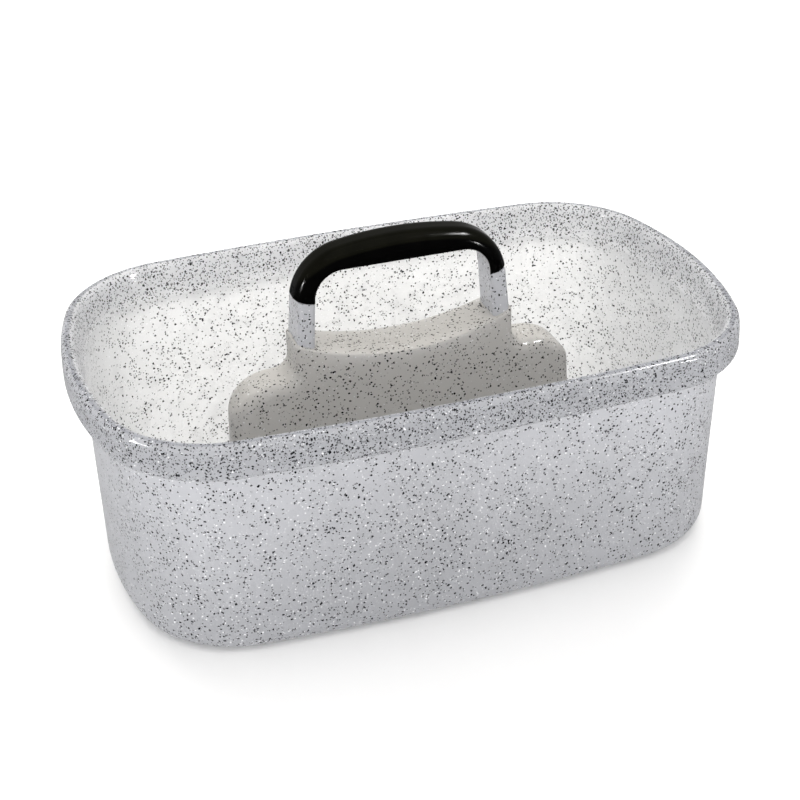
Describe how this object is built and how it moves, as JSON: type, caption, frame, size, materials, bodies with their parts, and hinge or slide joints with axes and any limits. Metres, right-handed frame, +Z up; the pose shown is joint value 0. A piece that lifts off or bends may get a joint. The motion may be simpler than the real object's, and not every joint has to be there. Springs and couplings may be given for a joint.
{
  "type": "shower caddy",
  "caption": "Oblong speckled translucent plastic tub with a rolled rim, a hollow centre divider and a carrying handle with a black hand grip.",
  "frame": {"origin": "middle of the tub's footprint, on the surface the caddy stands on", "axes": "+X along the tub and the handle, -Y towards the front long side, +Z up"},
  "size_m": [0.39, 0.2434, 0.1931],
  "materials": {
    "speckled_plastic": "milky translucent polystyrene with black, grey and silver flakes moulded in, glossy",
    "black_grip": "smooth satin-gloss black"
  },
  "bodies": {
    "root": {"tub": "speckled_plastic", "centre_divider": "speckled_plastic", "handle_arch": "speckled_plastic", "hand_grip": "black_grip"}
  },
  "joints": []
}
